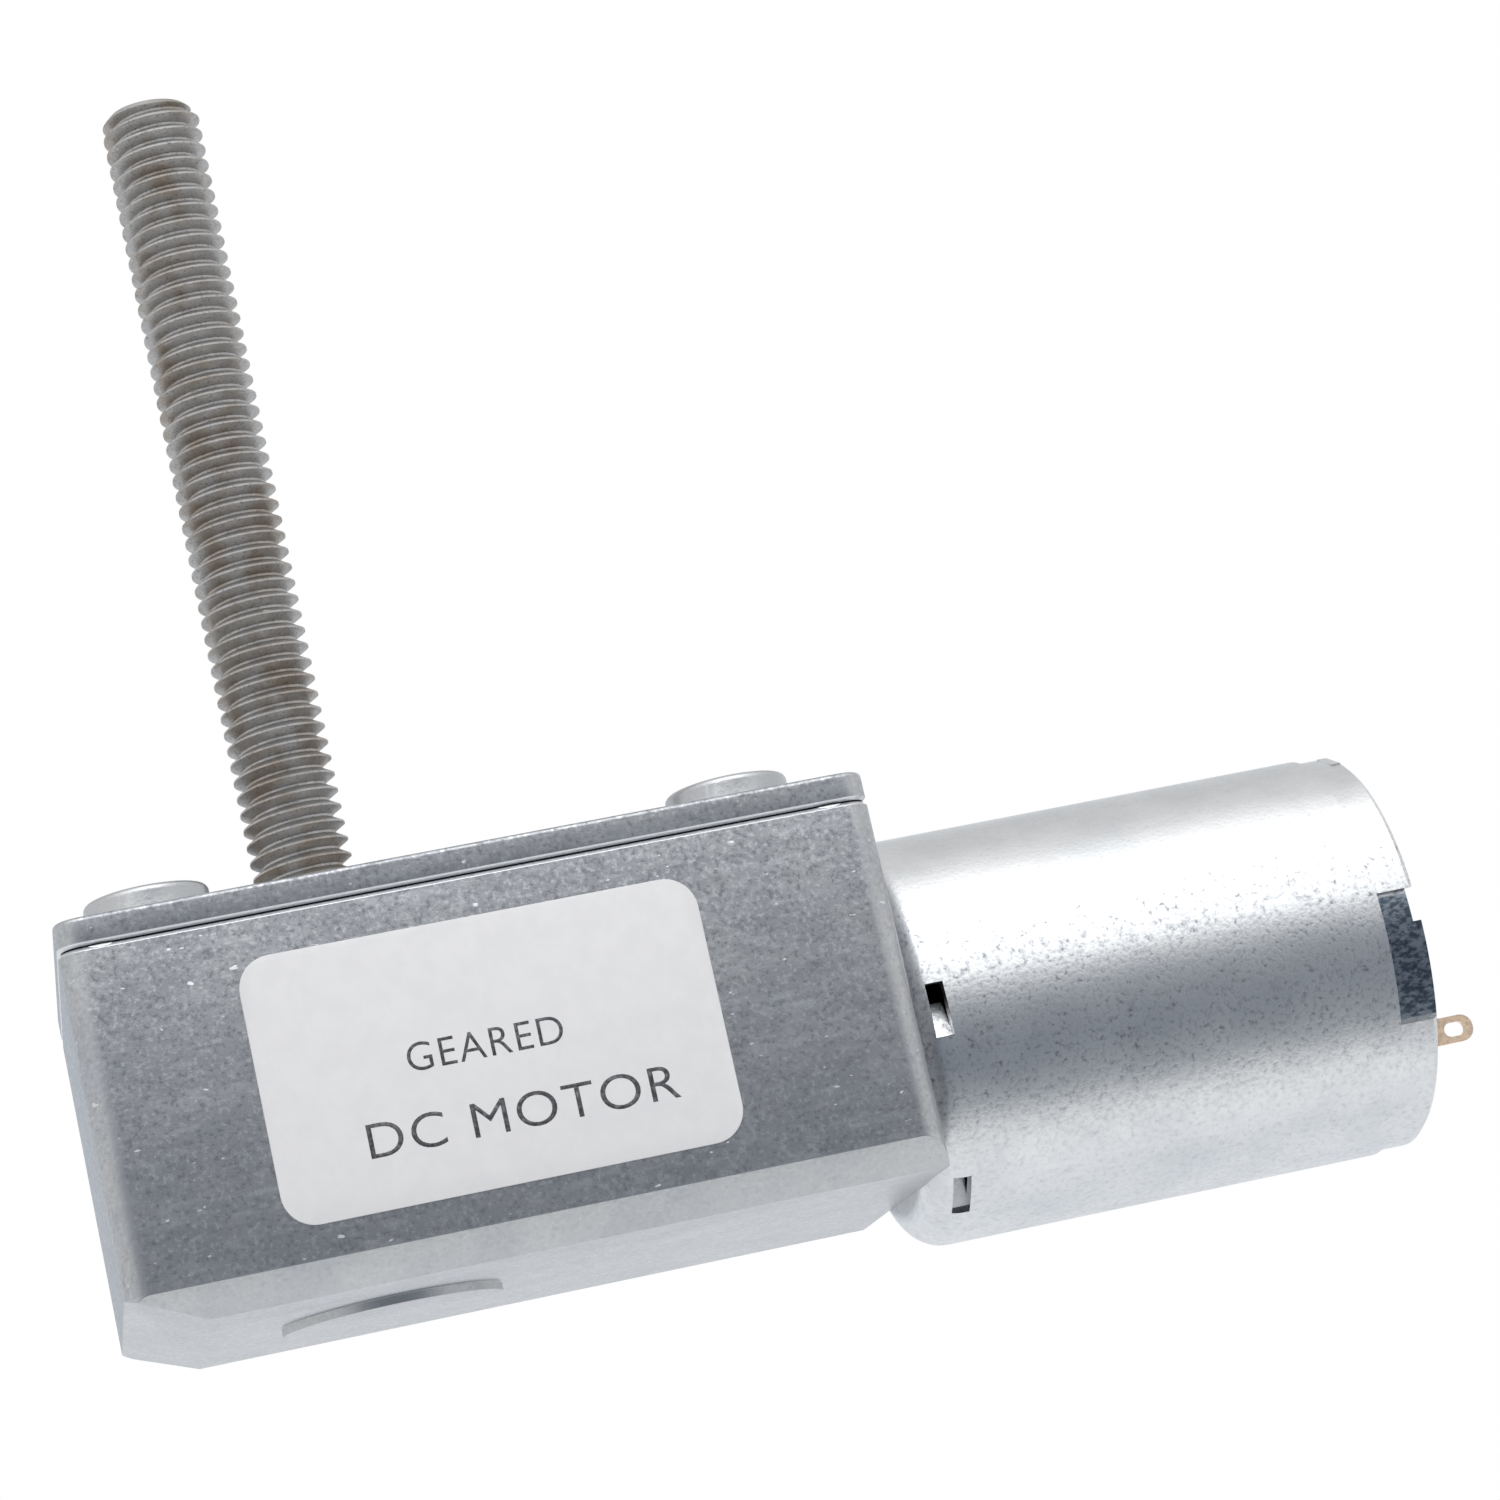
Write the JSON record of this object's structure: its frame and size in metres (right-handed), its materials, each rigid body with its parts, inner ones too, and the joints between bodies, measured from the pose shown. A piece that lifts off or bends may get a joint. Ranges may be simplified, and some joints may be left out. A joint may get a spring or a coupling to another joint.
{
  "type": "worm gearmotor with threaded output shaft",
  "caption": "Right-angle DC worm gearmotor: round drawn motor can flanged on a rectangular die-cast gearbox, with an M6 threaded output shaft standing up from the gearbox cover.",
  "frame": {"origin": "on the output shaft's axis, in the plane of the gearbox cover's outer face", "axes": "+Z out along the threaded shaft, +X along the motor towards its terminals, -Y is the side face with the label"},
  "size_m": [0.0812, 0.0321, 0.0777],
  "materials": {
    "die_cast_metal": "satin, bead-blasted",
    "plated_steel": "zinc plated",
    "can_steel": "zinc plated, drawn",
    "label_paper": "matte",
    "sintered_bronze": "sintered, oily",
    "screw_steel": "rolled thread, oxidised",
    "ground_steel": "ground",
    "gear_steel": "hobbed, greased",
    "gear_brass": "hobbed, greased",
    "spring_steel": "blackened",
    "washer_plastic": "matte",
    "ferrite": "sintered",
    "moulded_plastic": "moulded",
    "fibre": "pressed fibre",
    "terminal_copper": "bright copper alloy",
    "enamelled_wire": "enamelled",
    "carbon": "pressed graphite",
    "lamination_steel": "stacked sheets",
    "varistor": "fired"
  },
  "bodies": {
    "gearmotor": {"gearbox_housing": "die_cast_metal", "gearbox_cover": "die_cast_metal", "cover_screws": "plated_steel", "label": "label_paper", "output_bush_upper": "sintered_bronze", "output_bush_lower": "sintered_bronze", "gear_bushes_lower": "sintered_bronze", "gear_bushes_upper": "sintered_bronze", "motor_can": "can_steel", "motor_end_cap": "can_steel", "motor_bush_front": "sintered_bronze", "motor_bush_rear": "sintered_bronze", "motor_screws": "plated_steel", "magnet_upper": "ferrite", "magnet_lower": "ferrite", "magnet_springs": "spring_steel", "brush_holder": "moulded_plastic", "terminal_lower": "terminal_copper", "terminal_upper": "terminal_copper", "brush_arms": "terminal_copper", "carbon_brushes": "carbon"},
    "rotor": {"motor_shaft": "ground_steel", "worm": "gear_steel", "armature_core": "lamination_steel", "core_insulators": "fibre", "windings": "enamelled_wire", "commutator_base": "moulded_plastic", "commutator_segments": "terminal_copper", "varistor_ring": "varistor", "rotor_spacer": "ground_steel", "rotor_washers": "washer_plastic"},
    "first_shaft": {"gear_shaft_1": "ground_steel", "shaft_1_washers": "washer_plastic", "worm_wheel": "gear_brass", "pinion_1": "gear_steel"},
    "second_shaft": {"gear_shaft_2": "ground_steel", "shaft_2_washers": "washer_plastic", "shaft_2_spacer": "ground_steel", "gear_2": "gear_brass", "pinion_2": "gear_steel"},
    "third_shaft": {"gear_shaft_3": "ground_steel", "shaft_3_washers": "washer_plastic", "gear_3": "gear_brass", "pinion_3": "gear_steel"},
    "output": {"lead_screw": "screw_steel", "output_gear": "gear_steel", "retaining_rings": "spring_steel", "output_thrust_washer": "washer_plastic"}
  },
  "joints": [
    {"name": "output_turn", "type": "hinge", "parent": "gearmotor", "child": "output", "pos_m": [0, 0, 0], "axis": [0, 0, 1], "continuous": true},
    {"name": "third_shaft_turn", "type": "hinge", "parent": "gearmotor", "child": "third_shaft", "pos_m": [0.01163, -0.00458, 0], "axis": [0, 0, 1], "continuous": true},
    {"name": "second_shaft_turn", "type": "hinge", "parent": "gearmotor", "child": "second_shaft", "pos_m": [0.01186, 0.00462, 0], "axis": [0, 0, 1], "continuous": true},
    {"name": "first_shaft_turn", "type": "hinge", "parent": "gearmotor", "child": "first_shaft", "pos_m": [0.0206, 0.0075, 0], "axis": [0, 0, 1], "continuous": true},
    {"name": "rotor_turn", "type": "hinge", "parent": "gearmotor", "child": "rotor", "pos_m": [0.031, 0, -0.0139], "axis": [1, 0, 0], "continuous": true}
  ],
  "couplings": [
    {"joint": "third_shaft_turn", "follows": "output_turn", "ratio": -4},
    {"joint": "second_shaft_turn", "follows": "output_turn", "ratio": 14.4},
    {"joint": "first_shaft_turn", "follows": "output_turn", "ratio": -51.84},
    {"joint": "rotor_turn", "follows": "output_turn", "ratio": 1036.8}
  ]
}
